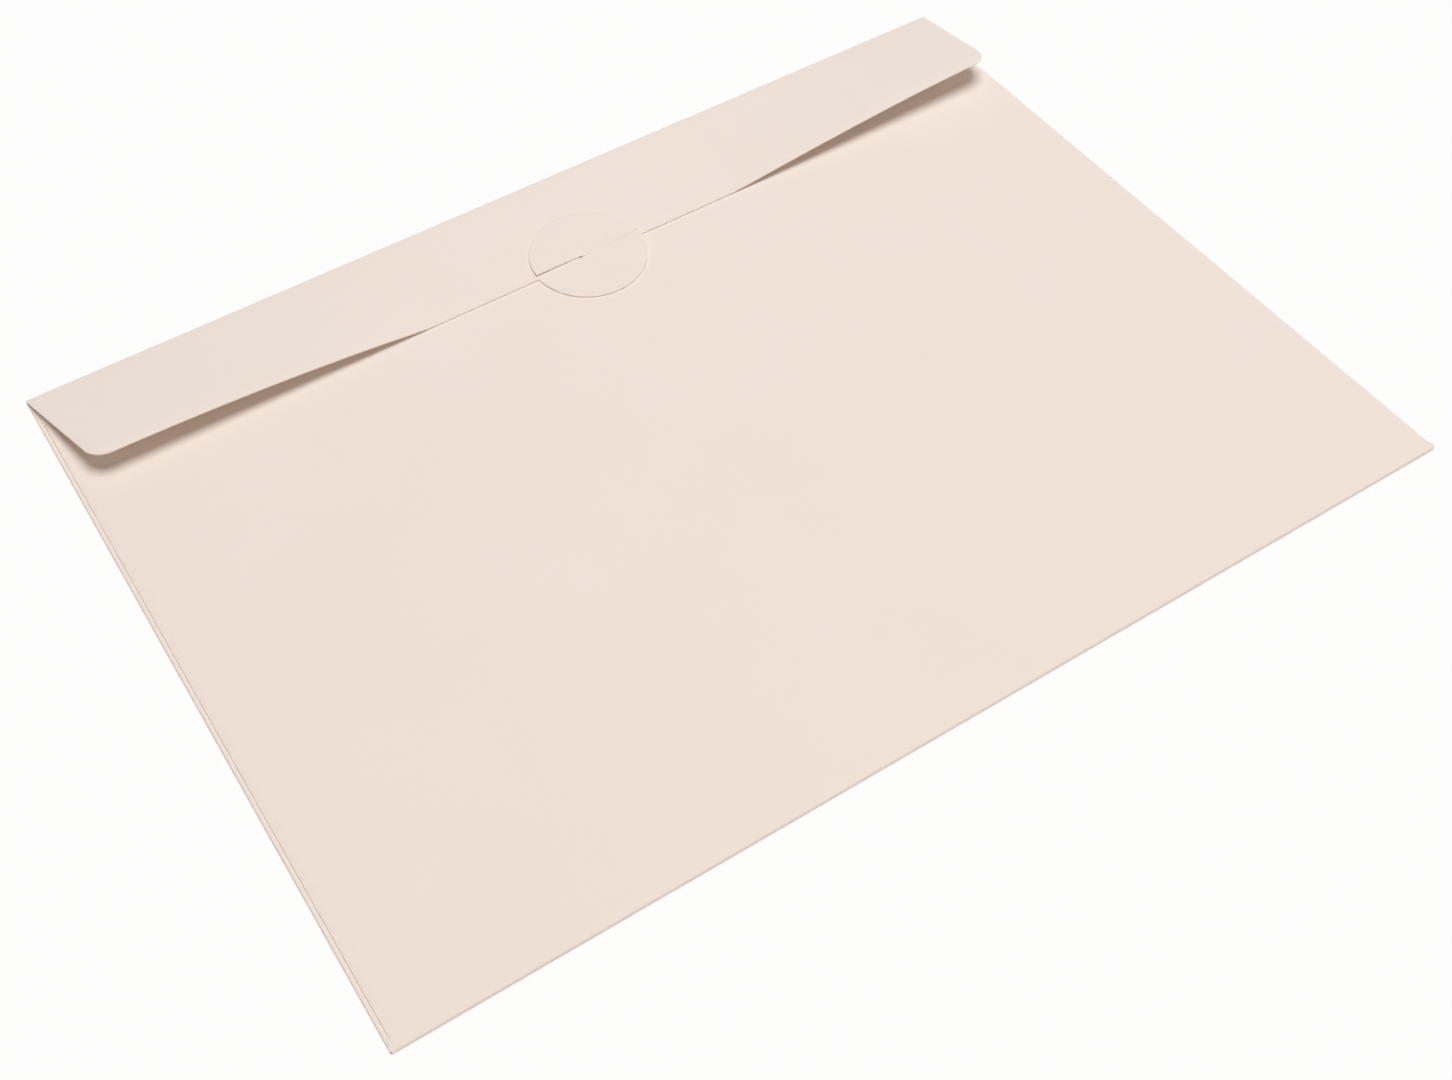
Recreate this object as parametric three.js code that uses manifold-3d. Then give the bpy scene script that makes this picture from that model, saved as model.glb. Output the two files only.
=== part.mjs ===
// A landscape photo folder of thick uncoated card, closed, lying on its back.
// One die-cut sheet is folded four times: the bottom fold brings the front panel up,
// two side folds turn narrow glue tabs in under it, and the top fold lays a long flap over it.
// A half-moon tongue on the flap's free edge interlocks with a half-moon tab cut from the front panel.
import * as THREE from 'three';
import { mergeVertices } from 'three/addons/utils/BufferGeometryUtils.js';
import Module from 'manifold-3d';

const wasm = await Module();
wasm.setup();

// Sizes in millimetres. X runs along the long side, Y from the bottom fold to the top fold.
const WIDTH = 310; // over the two side folds
const HEIGHT = 220; // over the bottom fold and the top fold
const CARD = 0.4; // thickness of the sheet
const POCKET_GAP = 0.6; // clear height between the back and front panels
const LAYER_GAP = 0.15; // air between layers that lie on each other unglued
const CORNER_RADIUS = 1; // outline corners of the back panel
const FRONT_INSET = 1.3; // from a side fold to the front panel's cut edge
const FRONT_FLARE = 4; // length over which that cut edge runs out into the bottom corner
const FRONT_TOP_GAP = 5; // from the top fold down to the front panel's top edge
const FRONT_TOP_RADIUS = 3;
const TAB_WIDTH = 16;
const TAB_END_GAP = 4; // from the bottom and top folds to a tab's root
const TAB_SLANT = 8; // how far a tab's ends slope over its width

const FLAP_DEPTH = 37; // from the top fold to the free edge
const FLAP_TAPER_LEFT = 7.6; // how far the flap's sides lean in over its depth
const FLAP_TAPER_RIGHT = 2.6;
const FLAP_CORNER_RADIUS = 9;
const LIFT_LEFT = 6.1; // how far the flap's corners spring up
const LIFT_RIGHT = 7.6;
const LIFT_LEFT_START = 108; // distance from the left side fold where the flap leaves the panel
const LIFT_RIGHT_START = 210;
const LIFT_LEFT_CURVE = 2.3; // 1 is a straight rise, more is a rise that levels off at the corner
const LIFT_RIGHT_CURVE = 1.6;

const LOCK_X = 160.2; // centre of the round closure, from the left side fold
const LOCK_RADIUS = 17.4;
const LOCK_ABOVE_EDGE = 1.2; // the closure's slit line lies this far inside the flap's free edge
const LOCK_KERF = 0.25; // width of the die-cut lines
const SLIT_OVERRUN = 3; // how far each slit runs past the closure's centre
const RAMP_LENGTH = 2.6; // over which the tab climbs from the panel to above the flap
const TONGUE_LIFT = 1.3; // free corner of the tongue
const TAB_LIFT = 0.9; // free corner of the half-moon tab

const ARC_STEPS = 10; // facets across a fold
const CURVE_STEPS = 20; // facets on a quarter of a round outline
const EDGE_STEPS = 10; // facets on the front panel's flared edge
const STRIP_STEPS = 3; // facets down the flap
const RAMP_STEPS = 5; // facets up the half-moon tab's ramp
const X_STEP = 6; // spacing of the bending lines along a lifted end
const LOCK_STEP = 2; // spacing of the bending lines in the closure
const TRIM_HEIGHT = 40; // height of the outline cutters
const TRIM_MARGIN = 1; // how far the cutters reach past the sheet
const MERGE_DISTANCE = 1e-4;

// Levels that follow from the sizes
const FRONT_Z = CARD + POCKET_GAP;
const SPLIT_Z = CARD + POCKET_GAP / 2; // halfway up the pocket
const FLAP_Z = FRONT_Z + CARD + LAYER_GAP;
const LOCK_TAB_Z = FLAP_Z + CARD + LAYER_GAP;
const TOP_FOLD_RADIUS = (FLAP_Z + CARD) / 2;
const STRIP_LENGTH = FLAP_DEPTH - TOP_FOLD_RADIUS;
const FLAP_EDGE_Y = HEIGHT - FLAP_DEPTH;
const LOCK_Y = FLAP_EDGE_Y + LOCK_ABOVE_EDGE;

function clamp01(value) {
  return Math.min(1, Math.max(0, value));
}

function smooth(value) {
  const part = clamp01(value);
  return part * part * (3 - 2 * part);
}

// Evenly spaced values from start to end, both included
function span(start, end, step) {
  const count = Math.max(1, Math.ceil((end - start) / step));
  return Array.from({ length: count + 1 }, (_, i) => start + ((end - start) * i) / count);
}

function solidFrom(geometry) {
  geometry.deleteAttribute('normal');
  geometry.deleteAttribute('uv');
  const merged = mergeVertices(geometry, MERGE_DISTANCE);
  return new wasm.Manifold(new wasm.Mesh({
    numProp: 3,
    vertProperties: new Float32Array(merged.attributes.position.array),
    triVerts: new Uint32Array(merged.index.array),
  }));
}

function geometryFrom(solid) {
  const mesh = solid.getMesh();
  const geometry = new THREE.BufferGeometry();
  geometry.setAttribute('position', new THREE.BufferAttribute(new Float32Array(mesh.vertProperties), 3));
  geometry.setIndex(new THREE.BufferAttribute(new Uint32Array(mesh.triVerts), 1));
  return geometry;
}

// A flat sheet over the lines xs and ys, ready to be bent along them
function flatSheet(xs, ys) {
  const geometry = new THREE.BoxGeometry(1, 1, CARD, xs.length - 1, ys.length - 1, 1);
  const position = geometry.attributes.position;
  for (let i = 0; i < position.count; i += 1) {
    const column = Math.round((position.getX(i) + 0.5) * (xs.length - 1));
    const row = Math.round((position.getY(i) + 0.5) * (ys.length - 1));
    position.setXYZ(i, xs[column], ys[row], position.getZ(i) + CARD / 2);
  }
  return solidFrom(geometry);
}

// A tall prism on a plan outline, used to trim sheets
function prism(shape) {
  const geometry = new THREE.ExtrudeGeometry(shape, {
    depth: TRIM_HEIGHT, bevelEnabled: false, curveSegments: CURVE_STEPS,
  });
  geometry.translate(0, 0, -TRIM_HEIGHT / 2);
  return solidFrom(geometry);
}

function rectangle(x0, y0, x1, y1) {
  const shape = new THREE.Shape();
  shape.moveTo(x0, y0);
  shape.lineTo(x1, y0);
  shape.lineTo(x1, y1);
  shape.lineTo(x0, y1);
  shape.closePath();
  return shape;
}

function circle(radius) {
  const shape = new THREE.Shape();
  shape.absarc(LOCK_X, LOCK_Y, radius, 0, Math.PI * 2, false);
  return shape;
}

// Moves every corner of a solid by a bending rule
function bend(solid, rule) {
  const geometry = geometryFrom(solid);
  const position = geometry.attributes.position;
  for (let i = 0; i < position.count; i += 1) {
    const [x, y, z] = rule(position.getX(i), position.getY(i), position.getZ(i));
    position.setXYZ(i, x, y, z);
  }
  return solidFrom(geometry);
}

// A closed section in the (a, z) plane: a back leg, a half-round fold and a front leg
function foldSection(backEnd, frontEnd, innerRadius) {
  const outer = innerRadius + CARD;
  const section = new THREE.Shape();
  section.moveTo(backEnd, 0);
  section.lineTo(backEnd, CARD);
  section.absarc(outer, outer, innerRadius, -Math.PI / 2, -Math.PI * 1.5, true);
  section.lineTo(frontEnd, 2 * innerRadius + CARD);
  section.lineTo(frontEnd, 2 * outer);
  section.absarc(outer, outer, outer, Math.PI / 2, Math.PI * 1.5, false);
  section.closePath();
  return section;
}

// Back panel, bottom fold and front panel, before the front panel's sides are cut
function wrapSolid() {
  const section = foldSection(HEIGHT - TOP_FOLD_RADIUS, HEIGHT - FRONT_TOP_GAP, POCKET_GAP / 2);
  const geometry = new THREE.ExtrudeGeometry(section, {
    depth: WIDTH, bevelEnabled: false, curveSegments: ARC_STEPS,
  });
  geometry.rotateX(Math.PI / 2);
  geometry.rotateZ(Math.PI / 2);
  return solidFrom(geometry);
}

// Everything outside the front panel's two side edges and above the back panel
function sideCutter() {
  const bottom = FRONT_Z / 2;
  const top = HEIGHT - FRONT_TOP_GAP;
  const shape = new THREE.Shape();
  shape.moveTo(-TRIM_MARGIN, bottom);
  shape.lineTo(0, bottom);
  shape.bezierCurveTo(0, bottom + FRONT_FLARE / 2, FRONT_INSET, bottom + FRONT_FLARE / 2,
    FRONT_INSET, bottom + FRONT_FLARE);
  shape.lineTo(FRONT_INSET, top - FRONT_TOP_RADIUS);
  shape.absarc(FRONT_INSET + FRONT_TOP_RADIUS, top - FRONT_TOP_RADIUS, FRONT_TOP_RADIUS,
    Math.PI, Math.PI / 2, true);
  shape.lineTo(FRONT_INSET + FRONT_TOP_RADIUS, top + TRIM_MARGIN);
  shape.lineTo(-TRIM_MARGIN, top + TRIM_MARGIN);
  shape.closePath();
  const geometry = new THREE.ExtrudeGeometry(shape, {
    depth: TRIM_HEIGHT, bevelEnabled: false, curveSegments: EDGE_STEPS,
  });
  geometry.translate(0, 0, SPLIT_Z);
  return solidFrom(geometry);
}

function mirrored(solid) {
  return solid.mirror([1, 0, 0]).translate([WIDTH, 0, 0]);
}

// A side fold with its glue tab, which runs in under the front panel
function sideTab() {
  const geometry = new THREE.ExtrudeGeometry(
    foldSection(TAB_WIDTH, TAB_WIDTH, (FRONT_Z - 2 * CARD) / 2),
    { depth: HEIGHT - 2 * TAB_END_GAP, bevelEnabled: false, curveSegments: ARC_STEPS },
  );
  geometry.rotateX(Math.PI / 2);
  geometry.translate(0, HEIGHT - TAB_END_GAP, 0);
  const outline = new THREE.Shape();
  outline.moveTo(-TRIM_MARGIN, TAB_END_GAP);
  outline.lineTo(FRONT_INSET, TAB_END_GAP);
  outline.lineTo(TAB_WIDTH + TRIM_MARGIN, TAB_END_GAP + TAB_SLANT);
  outline.lineTo(TAB_WIDTH + TRIM_MARGIN, HEIGHT - TAB_END_GAP - TAB_SLANT);
  outline.lineTo(FRONT_INSET, HEIGHT - TAB_END_GAP);
  outline.lineTo(-TRIM_MARGIN, HEIGHT - TAB_END_GAP);
  outline.closePath();
  return solidFrom(geometry).intersect(prism(outline));
}

// The sheet's outline at its side folds and bottom corners
function sheetOutline() {
  const r = CORNER_RADIUS;
  const shape = new THREE.Shape();
  shape.moveTo(r, 0);
  shape.lineTo(WIDTH - r, 0);
  shape.absarc(WIDTH - r, r, r, -Math.PI / 2, 0, false);
  shape.lineTo(WIDTH, HEIGHT);
  shape.lineTo(0, HEIGHT);
  shape.lineTo(0, r);
  shape.absarc(r, r, r, Math.PI, Math.PI * 1.5, false);
  shape.closePath();
  return shape;
}

// How far the flap's free edge stands off the panel at a distance from the left side fold
function flapLift(x) {
  const left = clamp01((LIFT_LEFT_START - x) / LIFT_LEFT_START);
  const right = clamp01((x - LIFT_RIGHT_START) / (WIDTH - LIFT_RIGHT_START));
  return LIFT_LEFT * (1 - (1 - left) ** LIFT_LEFT_CURVE)
    + LIFT_RIGHT * (1 - (1 - right) ** LIFT_RIGHT_CURVE);
}

// Bends the flat flap: y counts from the free edge up and then round the top fold
function bendFlap(x, y, z) {
  const angle = Math.asin(flapLift(x) / STRIP_LENGTH);
  const radius = TOP_FOLD_RADIUS - CARD + z;
  const turn = Math.PI / 2 - angle;
  const along = y - FLAP_EDGE_Y;
  const centre = HEIGHT - TOP_FOLD_RADIUS;
  if (along <= STRIP_LENGTH) {
    const run = STRIP_LENGTH - along;
    return [
      x,
      centre + radius * Math.cos(turn) - run * Math.cos(angle),
      TOP_FOLD_RADIUS + radius * Math.sin(turn) + run * Math.sin(angle),
    ];
  }
  const part = (along - STRIP_LENGTH) / (Math.PI * TOP_FOLD_RADIUS);
  const phi = turn - part * (turn + Math.PI / 2);
  return [x, centre + radius * Math.cos(phi), TOP_FOLD_RADIUS + radius * Math.sin(phi)];
}

// Plan outline of the flat flap, without its tongue
function flapOutline() {
  const foldY = FLAP_EDGE_Y + STRIP_LENGTH;
  const endY = foldY + Math.PI * TOP_FOLD_RADIUS;
  const leftLean = Math.atan2(FLAP_TAPER_LEFT, FLAP_DEPTH);
  const rightLean = Math.atan2(FLAP_TAPER_RIGHT, FLAP_DEPTH);
  const r = FLAP_CORNER_RADIUS;
  const leftCentre = FLAP_TAPER_LEFT + r * Math.tan((Math.PI / 2 - leftLean) / 2);
  const rightCentre = WIDTH - FLAP_TAPER_RIGHT - r * Math.tan((Math.PI / 2 - rightLean) / 2);
  const shape = new THREE.Shape();
  shape.moveTo(leftCentre, FLAP_EDGE_Y);
  shape.lineTo(rightCentre, FLAP_EDGE_Y);
  shape.absarc(rightCentre, FLAP_EDGE_Y + r, r, -Math.PI / 2, -rightLean, false);
  shape.lineTo(WIDTH, foldY);
  shape.lineTo(WIDTH, endY);
  shape.lineTo(0, endY);
  shape.lineTo(0, foldY);
  shape.absarc(leftCentre, FLAP_EDGE_Y + r, r, Math.PI + leftLean, Math.PI * 1.5, false);
  shape.closePath();
  return shape;
}

// The slot in the flap that the half-moon tab comes up through, open to the free edge on the right
function flapSlot() {
  const right = LOCK_X + LOCK_RADIUS + LOCK_KERF;
  const slot = prism(rectangle(LOCK_X - SLIT_OVERRUN, LOCK_Y - LOCK_KERF, right, LOCK_Y + RAMP_LENGTH));
  const belowSlot = prism(rectangle(LOCK_X - SLIT_OVERRUN, FLAP_EDGE_Y - TRIM_MARGIN, right, LOCK_Y));
  const tonguePlace = prism(circle(LOCK_RADIUS + LOCK_KERF)).intersect(belowSlot);
  return slot.intersect(prism(circle(LOCK_RADIUS + LOCK_KERF))).add(tonguePlace);
}

function flapSolid() {
  const xs = [...span(0, LIFT_LEFT_START, X_STEP), ...span(LIFT_RIGHT_START, WIDTH, X_STEP)];
  const foldY = FLAP_EDGE_Y + STRIP_LENGTH;
  const arc = Math.PI * TOP_FOLD_RADIUS;
  const stripYs = span(FLAP_EDGE_Y, foldY, STRIP_LENGTH / STRIP_STEPS);
  const ys = [...stripYs, ...span(foldY, foldY + arc, arc / ARC_STEPS).slice(1)];
  const flat = flatSheet(xs, ys).intersect(prism(flapOutline())).subtract(flapSlot());
  return bend(flat, bendFlap);
}

// The half-moon tongue: part of the flap left of its centre, free on the right
function tongueSolid() {
  const edge = LOCK_X + LOCK_RADIUS;
  const top = LOCK_Y - LOCK_KERF;
  const low = LOCK_Y - LOCK_RADIUS;
  const grid = flatSheet(span(LOCK_X - LOCK_RADIUS, edge, LOCK_STEP), span(low, top, LOCK_STEP));
  const flat = grid.intersect(prism(circle(LOCK_RADIUS)));
  return bend(flat, (x, y, z) => {
    const across = clamp01((x - LOCK_X) / LOCK_RADIUS);
    const down = clamp01((top - y) / LOCK_RADIUS);
    return [x, y, z + FLAP_Z + TONGUE_LIFT * across ** 2 * (1 - down) ** 2];
  });
}

// The half-moon tab: part of the front panel right of its centre, free on the left, lying over the flap
function lockTabSolid() {
  const edge = LOCK_X - LOCK_RADIUS;
  const high = LOCK_Y + LOCK_RADIUS;
  const rampEnd = LOCK_Y + RAMP_LENGTH;
  const xs = span(edge, LOCK_X + LOCK_RADIUS, LOCK_STEP);
  const rampYs = span(LOCK_Y, rampEnd, RAMP_LENGTH / RAMP_STEPS);
  const ys = [...rampYs, ...span(rampEnd, high, LOCK_STEP).slice(1)];
  const flat = flatSheet(xs, ys).intersect(prism(circle(LOCK_RADIUS)));
  return bend(flat, (x, y, z) => {
    const climb = smooth(Math.max((y - LOCK_Y) / RAMP_LENGTH, (LOCK_X - x) / SLIT_OVERRUN));
    const across = clamp01((LOCK_X - x) / LOCK_RADIUS);
    const up = clamp01((y - LOCK_Y) / LOCK_RADIUS);
    const level = FRONT_Z + (LOCK_TAB_Z - FRONT_Z) * climb;
    return [x, y, z + level + TAB_LIFT * across ** 2 * (1 - up) ** 2];
  });
}

// The half-moon hole that the tab leaves in the front panel
function panelHole() {
  const reach = LOCK_RADIUS + TRIM_MARGIN;
  const above = rectangle(LOCK_X - reach, LOCK_Y, LOCK_X + reach, LOCK_Y + reach);
  return prism(circle(LOCK_RADIUS + LOCK_KERF))
    .intersect(prism(above))
    .translate([0, 0, TRIM_HEIGHT / 2 + SPLIT_Z]);
}

function foldedCard() {
  const sheet = wrapSolid()
    .subtract(sideCutter())
    .subtract(mirrored(sideCutter()))
    .subtract(panelHole())
    .add(sideTab())
    .add(mirrored(sideTab()))
    .intersect(prism(sheetOutline()));
  return sheet.add(flapSolid()).add(tongueSolid()).add(lockTabSolid())
    .translate([-WIDTH / 2, -HEIGHT / 2, 0]);
}

const card = new THREE.Mesh(
  geometryFrom(foldedCard()),
  new THREE.MeshStandardMaterial({ color: 0xeedfd4, roughness: 0.9, metalness: 0 }),
);
card.name = 'folded_card';
card.geometry.computeVertexNormals();

const group = new THREE.Group();
group.add(card);

export default group;
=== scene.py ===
import logging
from dataclasses import dataclass, field
from enum import Enum
from math import asin, atan2, cos, hypot, pi, radians, sin, sqrt, tan
from typing import Callable

import bpy
import numpy as np
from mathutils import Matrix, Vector
from mathutils.geometry import delaunay_2d_cdt


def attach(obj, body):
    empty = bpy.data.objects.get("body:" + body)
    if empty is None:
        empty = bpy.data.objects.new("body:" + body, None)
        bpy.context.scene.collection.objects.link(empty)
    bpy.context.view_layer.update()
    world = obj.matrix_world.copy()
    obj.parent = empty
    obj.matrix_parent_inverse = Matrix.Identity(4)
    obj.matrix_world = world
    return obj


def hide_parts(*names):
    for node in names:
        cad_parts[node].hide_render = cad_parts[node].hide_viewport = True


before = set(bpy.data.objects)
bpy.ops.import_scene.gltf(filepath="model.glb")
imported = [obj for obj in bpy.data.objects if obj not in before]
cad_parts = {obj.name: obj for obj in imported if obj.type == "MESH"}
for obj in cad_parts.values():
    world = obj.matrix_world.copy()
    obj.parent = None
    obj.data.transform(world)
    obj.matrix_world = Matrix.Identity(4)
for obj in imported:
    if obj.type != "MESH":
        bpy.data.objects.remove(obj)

logging.basicConfig(level=logging.INFO, format="%(message)s")
log = logging.getLogger("photo_folder")

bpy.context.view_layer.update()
MM = 0.001
WHITE_HEX = "#FFFFFF"
FILL_WITHIN = 2  # delaunay_2d_cdt: keep the triangles inside the outline
Point2 = tuple[float, float]


def linear(hex_colour: str) -> tuple[float, float, float, float]:
    """Turns an sRGB hex colour into linear RGBA.

    Args:
        hex_colour: Colour such as "#EEDFD4".

    Returns:
        Red, green, blue and an alpha of 1.
    """
    parts = [int(hex_colour[i:i + 2], 16) / 255 for i in (1, 3, 5)]
    values = [p / 12.92 if p <= 0.04045 else ((p + 0.055) / 1.055) ** 2.4 for p in parts]
    return (values[0], values[1], values[2], 1.0)


def add_node(
    tree: bpy.types.NodeTree,
    kind: str,
    settings: dict[str, object] | None = None,
    inputs: dict[str | int, object] | None = None,
) -> bpy.types.Node:
    """Adds a node to a tree, sets it up and links it.

    Args:
        tree: Node tree that gets the node.
        kind: Blender's node type name.
        settings: Values for the node's own properties.
        inputs: Value or output socket for each input, by name or number.

    Returns:
        The new node.
    """
    node = tree.nodes.new(kind)
    for name, value in (settings or {}).items():
        setattr(node, name, value)
    for key, value in (inputs or {}).items():
        if isinstance(value, bpy.types.NodeSocket):
            tree.links.new(value, node.inputs[key])
        else:
            node.inputs[key].default_value = value
    return node


def ease(part: float | np.ndarray) -> float | np.ndarray:
    """Turns an even climb from 0 to 1 into one that starts and ends flat."""
    return part * part * (3 - 2 * part)


def seen_rays(tree: bpy.types.NodeTree) -> bpy.types.NodeSocket:
    """Gives 1 for what is seen straight, in a reflection or through clear things, and 0 for other light."""
    rays = add_node(tree, "ShaderNodeLightPath").outputs
    seen = add_node(tree, "ShaderNodeMath", {"operation": "MAXIMUM"}, {
        0: rays["Is Camera Ray"], 1: rays["Is Glossy Ray"]})
    seen = add_node(tree, "ShaderNodeMath", {"operation": "MAXIMUM"}, {
        0: seen.outputs[0], 1: rays["Is Transmission Ray"]})
    return seen.outputs[0]


def distance_to_edge(points: np.ndarray, start: np.ndarray, end: np.ndarray) -> np.ndarray:
    """Distance of each point from a straight edge.

    Args:
        points: N by 2 array.
        start: One end of the edge.
        end: The other end.

    Returns:
        N distances.
    """
    run = end - start
    length = float(run @ run) or 1.0
    part = np.clip(((points - start) @ run) / length, 0, 1)
    return np.hypot(*(points - start - part[:, None] * run).T)


class Crease(Enum):
    """The sheet's four creases, each with the axis that it folds along and the side that folds."""

    LEFT = ("X", -1.0)
    RIGHT = ("X", 1.0)
    BOTTOM = ("Y", -1.0)
    TOP = ("Y", 1.0)

    @property
    def axis(self) -> str:
        """The way the sheet runs across the crease."""
        return self.value[0]

    @property
    def sign(self) -> float:
        """1 if the sheet folds past the crease's high side, -1 for its low side."""
        return self.value[1]


@dataclass(frozen=True)
class FolderSizes:
    """The folder's sizes in millimetres, with its fine die-cut details."""

    width: float = 310.0
    height: float = 220.0
    card: float = 0.4
    pocket_gap: float = 0.6
    layer_gap: float = 0.06
    corner_radius: float = 1.0
    front_inset: float = 1.3
    front_flare: float = 4.0
    front_top_gap: float = 5.0
    front_top_radius: float = 3.0
    tab_width: float = 16.0
    tab_end_gap: float = 1.2
    tab_slant: float = 8.0
    tab_notch: float = 0.3
    glue_line: float = 0.03
    flap_depth: float = 37.0
    flap_corner_radius: float = 6.5
    taper_left: float = 7.6
    taper_right: float = 2.6
    lift_left: float = 6.1
    lift_right: float = 7.6
    lift_left_start: float = 108.0
    lift_right_start: float = 210.0
    lift_left_curve: float = 2.3
    lift_right_curve: float = 1.6
    lock_x: float = 160.2
    lock_radius: float = 17.4
    lock_above_edge: float = 1.2
    lock_kerf: float = 0.12
    slit_overrun: float = 3.0
    ramp_length: float = 2.6
    tongue_lift: float = 1.3
    lock_tab_lift: float = 0.3

    @property
    def front_z(self) -> float:
        """Underside of the front panel."""
        return self.card + self.pocket_gap

    @property
    def flap_z(self) -> float:
        """Underside of the flap where it lies down."""
        return self.front_z + self.card + self.layer_gap

    @property
    def lock_tab_z(self) -> float:
        """Underside of the half-moon tab over the flap."""
        return self.flap_z + self.card + self.layer_gap

    @property
    def bottom_radius(self) -> float:
        """Outer radius of the bottom fold."""
        return (self.front_z + self.card) / 2

    @property
    def top_radius(self) -> float:
        """Outer radius of the top fold."""
        return (self.flap_z + self.card) / 2

    @property
    def side_radius(self) -> float:
        """Outer radius of the side folds, which leaves a glue line under the front panel."""
        return (self.front_z - self.glue_line) / 2

    @property
    def strip_length(self) -> float:
        """Straight length of the flap, from its fold to its free edge."""
        return self.flap_depth - self.top_radius

    def arc(self, radius: float) -> float:
        """Length of a half-round fold along the middle of the sheet."""
        return pi * (radius - self.card / 2)


@dataclass
class DieCutBlank:
    """The flat sheet as it comes off the press, before it is folded.

    X runs across the sheet. Y is the folder's own Y over the back panel, and goes on past it on both
    sides: down over the bottom fold and the front panel, and up over the top fold and the flap. Z is the
    depth from the sheet's outer face. Lengths are in millimetres. The names that end in step are spacings
    of points, and two points nearer than same_place or join_distance count as one.
    """

    sizes: FolderSizes
    grid_step: float = 5.0
    lock_step: float = 0.9
    fold_steps: int = 12
    curve_step: float = 0.5
    edge_step: float = 3.0
    side_step: float = 1.1
    edge_clearance: float = 0.25
    fewest_arc_steps: int = 4
    flare_steps: int = 8
    flap_rows: int = 9
    side_columns: int = 3
    row_margin: float = 1.0
    same_place: float = 1e-3
    join_distance: float = 1e-5

    def __post_init__(self) -> None:
        """Works out where each part of the sheet starts."""
        s = self.sizes
        self.bottom_start = s.bottom_radius
        self.bottom_end = s.bottom_radius - s.arc(s.bottom_radius)
        self.front_end = self.bottom_end - (s.height - s.front_top_gap - s.bottom_radius)
        self.top_start = s.height - s.top_radius
        self.top_end = self.top_start + s.arc(s.top_radius)
        self.flap_end = self.top_end + s.strip_length
        self.tongue_y = self.flap_end - s.lock_above_edge
        lock_y = s.height - s.flap_depth + s.lock_above_edge
        self.lock_tab_y = self.bottom_end + s.bottom_radius - lock_y
        self.side_end = s.side_radius - s.arc(s.side_radius)
        self.side_xs = self.steps(s.side_radius, self.side_end)
        self.bottom_ys = self.steps(self.bottom_end, self.bottom_start)
        self.top_ys = self.steps(self.top_start, self.top_end)

    def steps(self, start: float, end: float) -> list[float]:
        """Places across a fold where the sheet bends, both ends included."""
        return [start + (end - start) * i / self.fold_steps for i in range(self.fold_steps + 1)]

    def arc_points(self, centre: Point2, radius: float, start: float, end: float) -> list[Point2]:
        """Points along an arc.

        Args:
            centre: Centre of the arc.
            radius: Its radius.
            start: First angle in radians.
            end: Last angle in radians.

        Returns:
            The points, both ends included.
        """
        count = max(self.fewest_arc_steps, round(abs(end - start) * radius / self.curve_step))
        angles = [start + (end - start) * i / count for i in range(count + 1)]
        return [(centre[0] + radius * cos(a), centre[1] + radius * sin(a)) for a in angles]

    def corner_points(self) -> list[Point2]:
        """The outline round the end of the bottom fold, which rounds the folder's bottom corner."""
        s = self.sizes
        r = s.corner_radius
        path = []
        for i, y in enumerate(self.bottom_ys):
            height = s.bottom_radius * (1 - sin(pi * i / self.fold_steps))
            path.append((r - sqrt(r * r - (r - height) ** 2), y))
        return path + [(0, r)]

    def left_side(self) -> list[Point2]:
        """The outline's left side, from the front panel's top edge up to the top fold."""
        s = self.sizes
        r = s.front_top_radius
        path = self.arc_points((s.front_inset + r, self.front_end + r), r, -pi / 2, -pi)
        flare_start = self.bottom_end - s.front_flare
        for i in range(self.flare_steps + 1):
            t = i / self.flare_steps
            path.append((s.front_inset * (1 - ease(t)), flare_start + s.front_flare * t))
        path += self.corner_points()[1:]
        outer = self.side_end - (s.tab_width - s.side_radius)
        low = s.tab_end_gap
        high = s.height - s.tab_end_gap
        path += [(0, low), (s.side_radius, low)] + [(x, low + s.tab_notch) for x in self.side_xs]
        path += [(outer, low + s.tab_slant), (outer, high - s.tab_slant)]
        path += [(x, high - s.tab_notch) for x in reversed(self.side_xs)]
        path += [(s.side_radius, high), (0, high)]
        return path + [(0, y) for y in self.top_ys]

    def flap_edge(self) -> list[Point2]:
        """The outline round the flap, from its left side to its right side, with the tongue."""
        s = self.sizes
        r = s.flap_corner_radius
        end = self.flap_end
        lean_left = atan2(s.taper_left, s.flap_depth)
        lean_right = atan2(s.taper_right, s.flap_depth)
        left = s.taper_left + r * tan((pi / 2 - lean_left) / 2)
        right = s.width - s.taper_right - r * tan((pi / 2 - lean_right) / 2)
        path = self.arc_points((left, end - r), r, pi - lean_left, pi / 2)
        centre = (s.lock_x, self.tongue_y)
        edge_angle = asin(s.lock_above_edge / s.lock_radius)
        slit_angle = asin(s.lock_kerf / s.lock_radius)
        path += self.arc_points(centre, s.lock_radius, pi - edge_angle, slit_angle)
        outer = s.lock_radius + s.lock_kerf
        slot = self.arc_points(centre, outer, -asin(s.ramp_length / outer), asin(s.lock_above_edge / outer))
        slit_x = s.lock_x - s.slit_overrun
        near = (slit_x, self.tongue_y + s.lock_kerf)
        far = (slit_x, self.tongue_y - s.ramp_length)
        for start, stop in ((path.pop(), near), (near, far), (far, slot[0])):
            path += self.line_points(start, stop, self.lock_step)
        return path + slot + self.arc_points((right, end - r), r, pi / 2, lean_right)

    def line_points(self, start: Point2, end: Point2, step: float) -> list[Point2]:
        """Evenly spaced points along a straight edge, with its start and without its end."""
        run_x, run_y = end[0] - start[0], end[1] - start[1]
        count = max(1, round(hypot(run_x, run_y) / step))
        return [(start[0] + run_x * k / count, start[1] + run_y * k / count) for k in range(count)]

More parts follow.
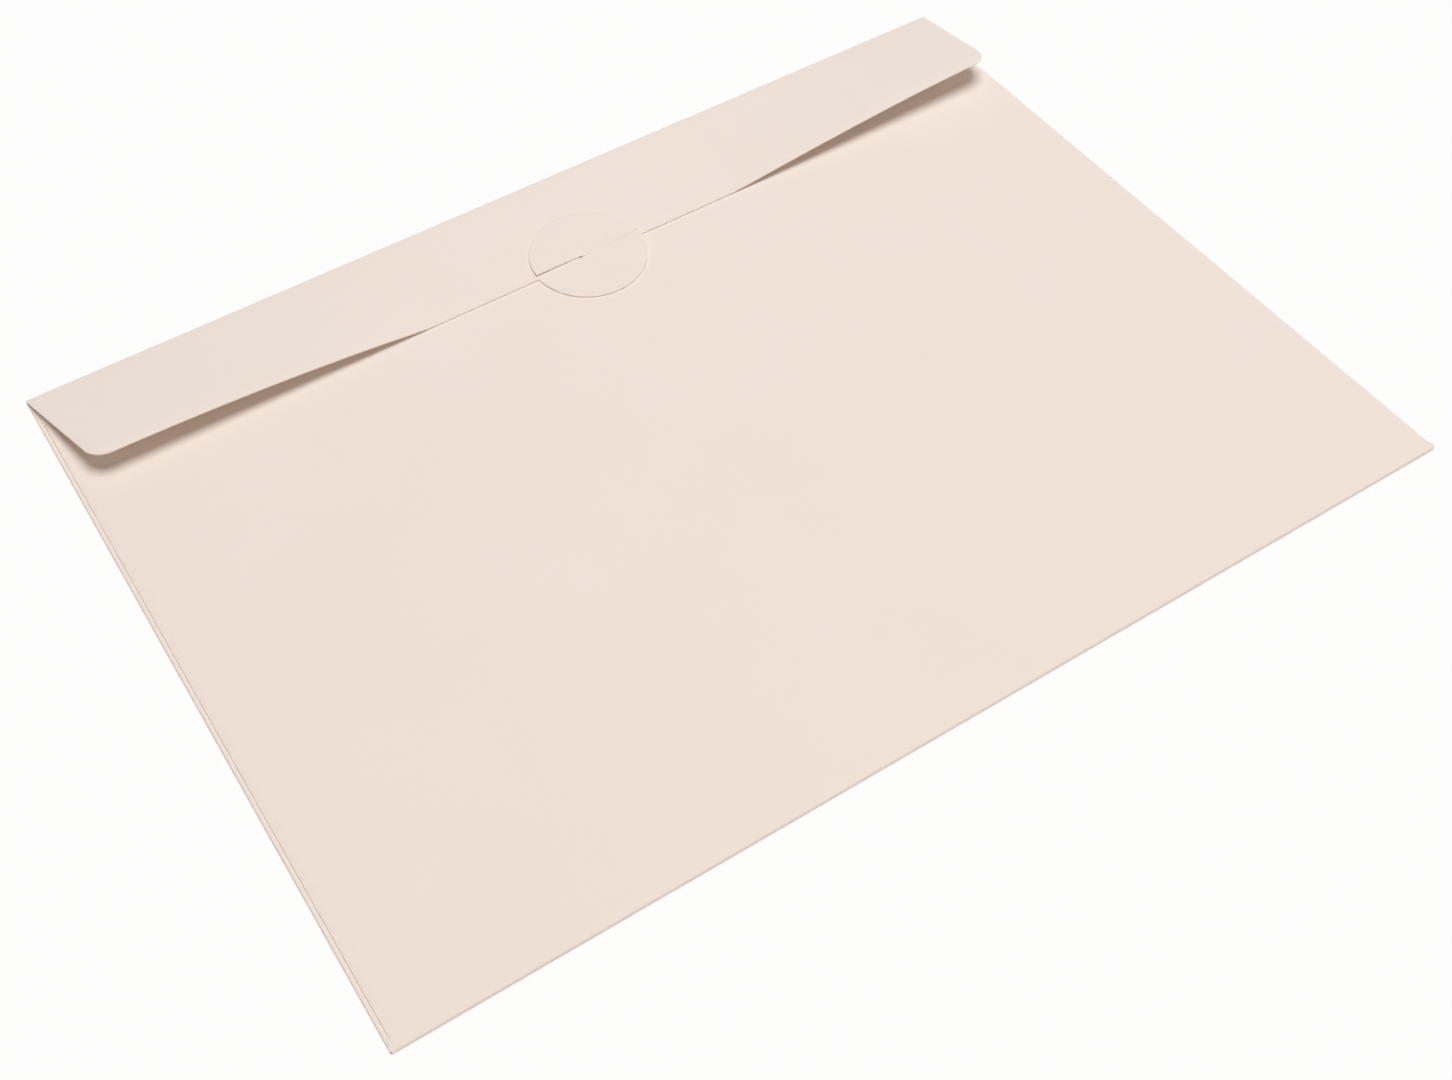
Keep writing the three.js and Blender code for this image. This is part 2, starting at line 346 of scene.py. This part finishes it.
    def divided(self, path: list[Point2], step: float) -> list[Point2]:
        """Adds points along the long straight edges of a closed path, so that they can bend."""
        result: list[Point2] = []
        for start, end in zip(path, path[1:] + path[:1]):
            result += self.line_points(start, end, step)
        return result

    def outline(self) -> list[Point2]:
        """The whole outline, once round."""
        left = self.left_side()
        right = [(self.sizes.width - x, y) for x, y in reversed(left)]
        return self.divided(left + self.flap_edge() + right, self.edge_step)

    def lock_cut(self) -> list[Point2]:
        """The thin die-cut line that frees the half-moon tab from the front panel."""
        s = self.sizes
        centre = (s.lock_x, self.lock_tab_y)
        outer = s.lock_radius + s.lock_kerf
        kerf_angle = asin(s.lock_kerf / s.lock_radius)
        path = [(s.lock_x, self.lock_tab_y), (s.lock_x, self.lock_tab_y - s.lock_kerf)]
        path += self.arc_points(centre, s.lock_radius, pi + kerf_angle, 2 * pi)
        return self.divided(path + self.arc_points(centre, outer, 2 * pi, pi), self.lock_step)

    def in_lock_cut(self, points: np.ndarray) -> np.ndarray:
        """Says which points lie inside the thin cut line round the half-moon tab.

        Args:
            points: N by 2 array.

        Returns:
            N booleans.
        """
        s = self.sizes
        across = points[:, 0] - s.lock_x
        down = self.lock_tab_y - points[:, 1]
        reach = np.hypot(across, down)
        ring = (reach > s.lock_radius) & (down > 0)
        straight = (across < 0) & (down > 0) & (down < s.lock_kerf)
        return (ring | straight) & (reach < s.lock_radius + s.lock_kerf)

    def inner_points(self) -> list[Point2]:
        """Grid points inside the sheet: even over the panels, close in the folds and the closure."""
        s = self.sizes
        middle = self.side_end - (s.tab_width - s.side_radius) / 2
        side = [middle] + self.side_xs[::-1]
        side += [s.side_radius + self.side_step * i for i in range(1, self.side_columns + 1)]
        xs = side + list(np.arange(s.side_radius, s.width / 2, self.grid_step)[1:])
        xs = sorted(xs + [s.width / 2] + [s.width - x for x in xs])
        rows = self.bottom_ys + self.top_ys
        rows += list(np.arange(self.front_end, self.bottom_end - self.row_margin, self.grid_step)[1:])
        rows += list(np.arange(self.bottom_start, self.top_start - self.row_margin, self.grid_step)[1:])
        rows += list(np.linspace(self.top_end, self.flap_end, self.flap_rows)[1:-1])
        locks = [(s.lock_x, self.tongue_y), (s.lock_x, self.lock_tab_y)]
        reach = s.lock_radius + self.grid_step
        points = [(x, y) for y in rows for x in xs if all(hypot(x - a, y - b) > reach for a, b in locks)]
        for a, b in locks:
            steps = np.arange(-reach, reach, self.lock_step)
            points += [(a + u, b + v) for u in steps for v in steps if hypot(u, v) < reach]
        return points

    def triangles(self) -> tuple[np.ndarray, np.ndarray]:
        """Fills the outline with triangles.

        Returns:
            Corner places as an N by 2 array, and triangles as an M by 3 array.
        """
        loops = [self.outline(), self.lock_cut()]
        boundary = [p for loop in loops for p in loop]
        edges: list[tuple[int, int]] = []
        first = 0
        for loop in loops:
            count = len(loop)
            edges += [(first + i, first + (i + 1) % count) for i in range(count)]
            first += count
        ends = np.array(boundary)
        inner = np.array(self.inner_points())
        clear = np.ones(len(inner), bool)
        for a, b in edges:
            clear &= distance_to_edge(inner, ends[a], ends[b]) > self.edge_clearance
        corners = [Vector(p) for p in boundary] + [Vector(p) for p in inner[clear]]
        result = delaunay_2d_cdt(corners, edges, [], FILL_WITHIN, self.join_distance)
        used = sorted({i for face in result[2] for i in face})
        place = {old: new for new, old in enumerate(used)}
        flat = np.array([tuple(result[0][i]) for i in used])
        faces = np.array([[place[i] for i in face] for face in result[2]])
        faces = faces[~self.in_lock_cut(flat[faces].mean(axis=1))]
        a, b, c = (flat[faces[:, i]] for i in range(3))
        turned = (b[:, 0] - a[:, 0]) * (c[:, 1] - a[:, 1]) < (b[:, 1] - a[:, 1]) * (c[:, 0] - a[:, 0])
        faces[turned] = faces[turned][:, ::-1]
        return flat, faces

    def closure_rise(self, x: np.ndarray, y: np.ndarray) -> np.ndarray:
        """How far the interlocked half-moons stand out of their own panels.

        Args:
            x: Places across the sheet.
            y: Places along the sheet.

        Returns:
            The rise towards the outside, in millimetres.
        """
        s = self.sizes
        near = self.same_place
        across = np.clip((x - s.lock_x) / s.lock_radius, -1, 1)
        in_tongue = np.hypot(x - s.lock_x, y - self.tongue_y) < s.lock_radius + near
        in_tongue &= y > self.tongue_y + s.lock_kerf - near
        down = np.clip((y - self.tongue_y - s.lock_kerf) / s.lock_radius, 0, 1)
        tongue = s.tongue_lift * np.clip(across, 0, 1) ** 2 * (1 - down) ** 2
        in_tab = np.hypot(x - s.lock_x, y - self.lock_tab_y) < s.lock_radius + near
        in_tab &= y < self.lock_tab_y + near
        up = np.clip((self.lock_tab_y - y) / s.lock_radius, 0, 1)
        climb = np.maximum(up * s.lock_radius / s.ramp_length, (s.lock_x - x) / s.slit_overrun)
        climb = ease(np.clip(climb, 0, 1))
        on_edge = (np.abs(y - self.lock_tab_y) < near) & (x < s.lock_x + near)
        tab = (s.lock_tab_z - s.front_z) * climb
        tab = tab + s.lock_tab_lift * np.clip(-across, 0, 1) ** 2 * (1 - up) ** 2
        return np.where(in_tongue, tongue, 0) + np.where(in_tab & ~on_edge, tab, 0)

    def mesh(self) -> bpy.types.Mesh:
        """Makes the flat sheet as a closed slab, in metres, with its cut edges marked."""
        flat, faces = self.triangles()
        count = len(flat)
        rise = self.closure_rise(flat[:, 0], flat[:, 1])
        outside = np.column_stack([flat, -rise])
        inside = np.column_stack([flat, self.sizes.card - rise])
        pairs = np.vstack([faces[:, [0, 1]], faces[:, [1, 2]], faces[:, [2, 0]]])
        known = {tuple(p) for p in pairs.tolist()}
        rim = [(a, b) for a, b in known if (b, a) not in known]
        walls = [(a, b, b + count, a + count) for a, b in rim]
        polygons = faces[:, ::-1].tolist() + (faces + count).tolist() + walls
        mesh = bpy.data.meshes.new("die_cut_blank")
        mesh.from_pydata((np.vstack([outside, inside]) * MM).tolist(), [], polygons)
        marks = mesh.attributes.new("cut_edge", "FLOAT", "FACE")
        marks.data.foreach_set("value", [0.0] * (2 * len(faces)) + [1.0] * len(walls))
        mesh.validate()
        return mesh


@dataclass
class FoldTree:
    """Geometry Nodes that fold the flat sheet along its four creases and let the flap's ends spring up."""

    sizes: FolderSizes
    blank: DieCutBlank
    tree: bpy.types.NodeTree = field(init=False)

    def math(self, operation: str, first: object, second: object = 0.0) -> bpy.types.NodeSocket:
        """Adds one sum to the tree that is being built and returns its result."""
        node = add_node(self.tree, "ShaderNodeMath", {"operation": operation}, {0: first, 1: second})
        return node.outputs[0]

    def clamp(self, value: object) -> bpy.types.NodeSocket:
        """Keeps a value between 0 and 1."""
        return self.math("MINIMUM", self.math("MAXIMUM", value, 0.0), 1.0)

    def fold_group(self) -> bpy.types.NodeTree:
        """A node group that carries a place on the sheet round one crease.

        Returns:
            The group, with inputs Along, Depth, Start, Arc, Radius and Sweep and outputs Along and Up.
        """
        group = bpy.data.node_groups.new("Crease", "GeometryNodeTree")
        for name in ("Along", "Depth", "Start", "Arc", "Radius", "Sweep"):
            group.interface.new_socket(name, in_out="INPUT", socket_type="NodeSocketFloat")
        for name in ("Along", "Up"):
            group.interface.new_socket(name, in_out="OUTPUT", socket_type="NodeSocketFloat")
        self.tree = group
        given = add_node(group, "NodeGroupInput").outputs
        past = self.math("SUBTRACT", given["Along"], given["Start"])
        turn = self.math("MULTIPLY", self.clamp(self.math("DIVIDE", past, given["Arc"])), given["Sweep"])
        straight = self.math("MAXIMUM", self.math("SUBTRACT", past, given["Arc"]), 0.0)
        reach = self.math("SUBTRACT", given["Radius"], given["Depth"])
        sine = self.math("SINE", turn)
        cosine = self.math("COSINE", turn)
        along = self.math("MINIMUM", given["Along"], given["Start"])
        along = self.math("ADD", along, self.math("MULTIPLY", reach, sine))
        along = self.math("ADD", along, self.math("MULTIPLY", straight, cosine))
        up = self.math("SUBTRACT", given["Radius"], self.math("MULTIPLY", reach, cosine))
        up = self.math("ADD", up, self.math("MULTIPLY", straight, sine))
        add_node(group, "NodeGroupOutput", inputs={"Along": along, "Up": up})
        return group

    def fold_at(
        self,
        group: bpy.types.NodeTree,
        geometry: bpy.types.NodeSocket,
        crease: Crease,
        values: dict[str, object],
        chosen: Callable[[dict[str, bpy.types.NodeSocket]], bpy.types.NodeSocket] | None = None,
    ) -> bpy.types.NodeSocket:
        """Folds the geometry along one crease.

        Args:
            group: The crease node group.
            geometry: Geometry to fold.
            crease: Which of the four creases.
            values: Start, Arc, Radius and Sweep for the crease.
            chosen: Makes a selection from the place, or None for the whole sheet.

        Returns:
            The folded geometry.
        """
        place = add_node(self.tree, "GeometryNodeInputPosition")
        split = add_node(self.tree, "ShaderNodeSeparateXYZ", inputs={0: place.outputs[0]}).outputs
        along = self.math("MULTIPLY", split[crease.axis], crease.sign)
        fold = add_node(self.tree, "GeometryNodeGroup", {"node_tree": group},
                        {"Along": along, "Depth": split["Z"], **values}).outputs
        parts = {"X": split["X"], "Y": split["Y"], "Z": fold["Up"]}
        parts[crease.axis] = self.math("MULTIPLY", fold["Along"], crease.sign)
        joined = add_node(self.tree, "ShaderNodeCombineXYZ", inputs=parts)
        inputs: dict[str | int, object] = {"Geometry": geometry, "Position": joined.outputs[0]}
        if chosen:
            inputs["Selection"] = chosen(split)
        return add_node(self.tree, "GeometryNodeSetPosition", inputs=inputs).outputs[0]

    def spring(self, across: bpy.types.NodeSocket, given: bpy.types.NodeOutputs) -> bpy.types.NodeSocket:
        """How far the flap's free edge stands up at a place across the sheet.

        Args:
            across: Distance from the left side fold.
            given: The tree's inputs.

        Returns:
            The lift in metres.
        """
        left = self.math("SUBTRACT", given["Left start"], across)
        left = self.math("SUBTRACT", 1.0, self.clamp(self.math("DIVIDE", left, given["Left start"])))
        span = self.math("SUBTRACT", given["Width"], given["Right start"])
        right = self.math("SUBTRACT", across, given["Right start"])
        right = self.math("SUBTRACT", 1.0, self.clamp(self.math("DIVIDE", right, span)))
        left = self.math("SUBTRACT", 1.0, self.math("POWER", left, given["Left curve"]))
        right = self.math("SUBTRACT", 1.0, self.math("POWER", right, given["Right curve"]))
        return self.math("ADD", self.math("MULTIPLY", left, given["Left lift"]),
                         self.math("MULTIPLY", right, given["Right lift"]))

    def build(self, material: bpy.types.Material) -> tuple[bpy.types.NodeTree, dict[str, str]]:
        """Builds the whole tree.

        Args:
            material: Finish of the folded sheet.

        Returns:
            The tree, and the identifier of each named input.
        """
        group = self.fold_group()
        tree = bpy.data.node_groups.new("Fold the sheet", "GeometryNodeTree")
        tree.interface.new_socket("Geometry", in_out="INPUT", socket_type="NodeSocketGeometry")
        ids = {}
        for name in self.values():
            socket = tree.interface.new_socket(name, in_out="INPUT", socket_type="NodeSocketFloat")
            ids[name] = socket.identifier
        tree.interface.new_socket("Geometry", in_out="OUTPUT", socket_type="NodeSocketGeometry")
        self.tree = tree
        given = add_node(tree, "NodeGroupInput").outputs
        geometry = given["Geometry"]

        def on_back(split: dict[str, bpy.types.NodeSocket]) -> bpy.types.NodeSocket:
            """Chooses the back panel with its glue tabs."""
            above = self.math("GREATER_THAN", split["Y"], given["Bottom start"])
            below = self.math("LESS_THAN", split["Y"], given["Top start"])
            return self.math("MULTIPLY", above, below)

        side = {"Arc": given["Side arc"], "Radius": given["Side radius"], "Sweep": pi}
        left_start = self.math("MULTIPLY", given["Side radius"], -1.0)
        right_start = self.math("SUBTRACT", given["Width"], given["Side radius"])
        geometry = self.fold_at(group, geometry, Crease.LEFT, {"Start": left_start, **side}, on_back)
        geometry = self.fold_at(group, geometry, Crease.RIGHT, {"Start": right_start, **side}, on_back)
        bottom_start = self.math("MULTIPLY", given["Bottom start"], -1.0)
        geometry = self.fold_at(group, geometry, Crease.BOTTOM, {
            "Start": bottom_start, "Arc": given["Bottom arc"],
            "Radius": given["Bottom radius"], "Sweep": pi})
        place = add_node(tree, "GeometryNodeInputPosition")
        across = add_node(tree, "ShaderNodeSeparateXYZ", inputs={0: place.outputs[0]}).outputs["X"]
        lift = self.math("DIVIDE", self.spring(across, given), given["Strip"])
        sweep = self.math("SUBTRACT", pi, self.math("ARCSINE", lift))
        geometry = self.fold_at(group, geometry, Crease.TOP, {
            "Start": given["Top start"], "Arc": given["Top arc"],
            "Radius": given["Top radius"], "Sweep": sweep})
        whole = add_node(tree, "GeometryNodeRealizeInstances", inputs={0: geometry})
        dressed = add_node(tree, "GeometryNodeSetMaterial", inputs={"Geometry": whole.outputs[0]})
        dressed.inputs["Material"].default_value = material
        add_node(tree, "NodeGroupOutput", inputs={"Geometry": dressed.outputs[0]})
        return tree, ids

    def values(self) -> dict[str, float]:
        """The tree's named inputs, in metres, with the two curves as plain numbers."""
        s = self.sizes
        lengths = {
            "Width": s.width, "Side radius": s.side_radius, "Side arc": s.arc(s.side_radius),
            "Bottom start": self.blank.bottom_start, "Bottom radius": s.bottom_radius,
            "Bottom arc": s.arc(s.bottom_radius), "Top start": self.blank.top_start,
            "Top radius": s.top_radius, "Top arc": s.arc(s.top_radius), "Strip": s.strip_length,
            "Left lift": s.lift_left, "Left start": s.lift_left_start,
            "Right lift": s.lift_right, "Right start": s.lift_right_start,
        }
        curves = {"Left curve": s.lift_left_curve, "Right curve": s.lift_right_curve}
        return {**{name: value * MM for name, value in lengths.items()}, **curves}


@dataclass(frozen=True)
class UncoatedCard:
    """Uncoated, calendered paperboard of about 0.4 mm, dyed a pale peach.

    It is quite matt, with a faint tooth from its fibres, a very slight cloudiness where the fibres lie
    unevenly, and cut edges that look a little lighter than the faces.
    """

    face_hex: str = "#EFE6DE"
    cloud_hex: str = "#EDE3DA"
    edge_hex: str = "#FAF3EC"
    roughness: float = 0.86
    specular: float = 0.25
    tooth_mm: float = 0.9
    cloud_mm: float = 45.0
    tooth_height_mm: float = 0.012
    cloud_detail: float = 3.0
    cloud_roughness: float = 0.5
    tooth_detail: float = 4.0
    tooth_roughness: float = 0.65

    def material(self) -> bpy.types.Material:
        """Builds the finish for the folded sheet."""
        material = bpy.data.materials.new("uncoated_card")
        material.use_nodes = True
        tree = material.node_tree
        tree.nodes.clear()
        place = add_node(tree, "ShaderNodeTexCoord").outputs["Object"]
        cloud = add_node(tree, "ShaderNodeTexNoise", {"noise_dimensions": "3D"}, {
            "Vector": place, "Scale": 1 / (self.cloud_mm * MM),
            "Detail": self.cloud_detail, "Roughness": self.cloud_roughness})
        tooth = add_node(tree, "ShaderNodeTexNoise", {"noise_dimensions": "3D"}, {
            "Vector": place, "Scale": 1 / (self.tooth_mm * MM),
            "Detail": self.tooth_detail, "Roughness": self.tooth_roughness})
        colour = add_node(tree, "ShaderNodeMix", {"data_type": "RGBA"}, {
            0: cloud.outputs["Fac"], 6: linear(self.face_hex), 7: linear(self.cloud_hex)})
        edge = add_node(tree, "ShaderNodeAttribute", {"attribute_name": "cut_edge"})
        faced = add_node(tree, "ShaderNodeMix", {"data_type": "RGBA"}, {
            0: edge.outputs["Fac"], 6: colour.outputs[2], 7: linear(self.edge_hex)})
        bump = add_node(tree, "ShaderNodeBump", inputs={
            "Height": tooth.outputs["Fac"], "Distance": self.tooth_height_mm * MM, "Strength": 1.0})
        shader = add_node(tree, "ShaderNodeBsdfPrincipled", inputs={
            "Base Color": faced.outputs[2], "Roughness": self.roughness,
            "Specular IOR Level": self.specular, "Normal": bump.outputs[0]})
        add_node(tree, "ShaderNodeOutputMaterial", inputs={"Surface": shader.outputs[0]})
        return material


@dataclass
class FoldedSheet:
    """The folder itself: one die-cut sheet, folded, glued at its side tabs and closed."""

    sizes: FolderSizes
    finish: UncoatedCard
    edge_round_mm: float = 0.05
    edge_round_steps: int = 2
    edge_angle_deg: float = 50.0
    smooth_angle_deg: float = 40.0

    def build(self) -> bpy.types.Object:
        """Makes the sheet, folds it, rounds its cut edges and parents it to the root body.

        Returns:
            The finished piece.
        """
        blank = DieCutBlank(self.sizes)
        folds = FoldTree(self.sizes, blank)
        flat = bpy.data.objects.new("flat_blank", blank.mesh())
        bpy.context.scene.collection.objects.link(flat)
        tree, ids = folds.build(self.finish.material())
        modifier = flat.modifiers.new("folds", "NODES")
        modifier.node_group = tree
        for name, value in folds.values().items():
            modifier[ids[name]] = value
        self.round_edges(flat)
        piece = self.plain_copy(flat, "folded_sheet")
        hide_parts("folded_card")
        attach(piece, "root")
        return piece

    def round_edges(self, flat: bpy.types.Object) -> None:
        """Gives the cut edges the slight rounding that a die leaves."""
        bevel = flat.modifiers.new("cut edges", "BEVEL")
        bevel.width = self.edge_round_mm * MM
        bevel.segments = self.edge_round_steps
        bevel.limit_method = "ANGLE"
        bevel.angle_limit = radians(self.edge_angle_deg)

    def plain_copy(self, source: bpy.types.Object, name: str) -> bpy.types.Object:
        """Makes the evaluated sheet a plain mesh, centred on the folder's own origin.

        Args:
            source: Object with live modifiers, which is removed.
            name: Name of the finished piece.

        Returns:
            The finished piece, with no modifiers.
        """
        graph = bpy.context.evaluated_depsgraph_get()
        mesh = bpy.data.meshes.new_from_object(source.evaluated_get(graph))
        places = np.empty(len(mesh.vertices) * 3, np.float32)
        mesh.vertices.foreach_get("co", places)
        places = places.reshape(-1, 3)
        places[:, 0] -= self.sizes.width * MM / 2
        places[:, 1] -= self.sizes.height * MM / 2
        mesh.vertices.foreach_set("co", places.ravel())
        mesh.shade_smooth()
        mesh.set_sharp_from_angle(angle=radians(self.smooth_angle_deg))
        source.modifiers.clear()
        bpy.data.objects.remove(source)
        piece = bpy.data.objects.new(name, mesh)
        bpy.context.scene.collection.objects.link(piece)
        return piece


@dataclass(frozen=True)
class StudioFloor:
    """A flat, pale floor that looks nearly white in the picture and keeps the folder's contact shadow."""

    colour_hex: str = "#F4F4F4"
    size_m: float = 6.0
    white_share: float = 0.85
    drop_m: float = 0.00005

    def material(self) -> bpy.types.Material:
        """Builds the floor's finish: matt white, lifted towards white wherever it is seen."""
        material = bpy.data.materials.new("studio_floor")
        material.use_nodes = True
        tree = material.node_tree
        tree.nodes.clear()
        matt = add_node(tree, "ShaderNodeBsdfDiffuse", inputs={"Color": linear(self.colour_hex)})
        glow = add_node(tree, "ShaderNodeEmission", inputs={"Color": linear(WHITE_HEX), "Strength": 1.0})
        share = add_node(tree, "ShaderNodeMath", {"operation": "MULTIPLY"}, {
            0: seen_rays(tree), 1: self.white_share})
        both = add_node(tree, "ShaderNodeMixShader", inputs={
            0: share.outputs[0], 1: matt.outputs[0], 2: glow.outputs[0]})
        add_node(tree, "ShaderNodeOutputMaterial", inputs={"Surface": both.outputs[0]})
        return material

    def build(self) -> bpy.types.Object:
        """Lays the floor under the folder."""
        half = self.size_m / 2
        mesh = bpy.data.meshes.new("studio_floor")
        corners = [(-half, -half, 0), (half, -half, 0), (half, half, 0), (-half, half, 0)]
        mesh.from_pydata(corners, [], [(0, 1, 2, 3)])
        mesh.materials.append(self.material())
        floor = bpy.data.objects.new("studio_floor", mesh)
        floor.location.z = -self.drop_m
        bpy.context.scene.collection.objects.link(floor)
        return floor


@dataclass(frozen=True)
class Studio:
    """Soft light from overhead, a warm fill from the front, and the camera of the photograph."""

    key_power: float = 60.0
    key_size_m: float = 1.9
    key_place_m: tuple[float, float, float] = (0.45, 0.3, 2.6)
    fill_power: float = 17.5
    fill_size_m: float = 1.6
    fill_place_m: tuple[float, float, float] = (-0.7, -2.0, 1.5)
    fill_hex: str = "#FFE6D9"
    world_strength: float = 0.11
    world_hex: str = "#FFEDE4"
    camera_place_mm: tuple[float, float, float] = (-182.2, -261.6, 366.5)
    camera_turn_deg: tuple[float, float, float] = (37.391, 1.539, -31.573)
    focal_px: float = 1789.6
    centre_x_px: float = 610.0
    frame_px: tuple[int, int] = (1452, 1080)
    sensor_mm: float = 36.0
    nearest_m: float = 0.01

    def build(self) -> None:
        """Sets up light, world and camera."""
        scene = bpy.context.scene
        scene.view_settings.view_transform = "Standard"
        self.add_lamp("soft_key", self.key_place_m, self.key_size_m, self.key_power, WHITE_HEX)
        self.add_lamp("front_fill", self.fill_place_m, self.fill_size_m, self.fill_power, self.fill_hex)
        self.add_world()
        self.add_camera()

    def add_lamp(self, name: str, place: tuple[float, float, float], size: float, power: float,
                 colour_hex: str) -> None:
        """Hangs a large soft lamp that looks at the folder.

        Args:
            name: Name of the lamp.
            place: Where it hangs, in metres.
            size: Its width in metres.
            power: Its power in watts.
            colour_hex: Colour of its light.
        """
        lamp = bpy.data.lights.new(name, "AREA")
        lamp.shape = "DISK"
        lamp.size = size
        lamp.energy = power
        lamp.color = linear(colour_hex)[:3]
        holder = bpy.data.objects.new(name, lamp)
        holder.location = place
        holder.rotation_euler = (-Vector(place)).to_track_quat("-Z", "Y").to_euler()
        bpy.context.scene.collection.objects.link(holder)

    def add_world(self) -> None:
        """Fills the shadows evenly and shows white behind the folder."""
        world = bpy.data.worlds.new("studio")
        bpy.context.scene.world = world
        world.use_nodes = True
        tree = world.node_tree
        tree.nodes.clear()
        fill = add_node(tree, "ShaderNodeBackground", inputs={
            "Color": linear(self.world_hex), "Strength": self.world_strength})
        plain = add_node(tree, "ShaderNodeBackground", inputs={"Color": linear(WHITE_HEX), "Strength": 1.0})
        both = add_node(tree, "ShaderNodeMixShader", inputs={
            0: seen_rays(tree), 1: fill.outputs[0], 2: plain.outputs[0]})
        add_node(tree, "ShaderNodeOutputWorld", inputs={"Surface": both.outputs[0]})

    def add_camera(self) -> None:
        """Places the camera where the photograph was taken from, as solved from the folder's outline."""
        lens = bpy.data.cameras.new("camera")
        lens.sensor_fit = "HORIZONTAL"
        lens.sensor_width = self.sensor_mm
        lens.lens = self.focal_px / self.frame_px[0] * self.sensor_mm
        lens.shift_x = (self.frame_px[0] / 2 - self.centre_x_px) / self.frame_px[0]
        lens.clip_start = self.nearest_m
        camera = bpy.data.objects.new("camera", lens)
        camera.location = [value * MM for value in self.camera_place_mm]
        camera.rotation_euler = [radians(value) for value in self.camera_turn_deg]
        bpy.context.scene.collection.objects.link(camera)
        bpy.context.scene.camera = camera


def main() -> None:
    """Builds the folder and its studio, and reports each piece."""
    sheet = FoldedSheet(FolderSizes(), UncoatedCard()).build()
    log.info("%s: %d faces", sheet.name, len(sheet.data.polygons))
    floor = StudioFloor().build()
    log.info("%s: %d faces", floor.name, len(floor.data.polygons))
    Studio().build()
    log.info("studio: light, world and camera")


if __name__ == "__main__":
    main()
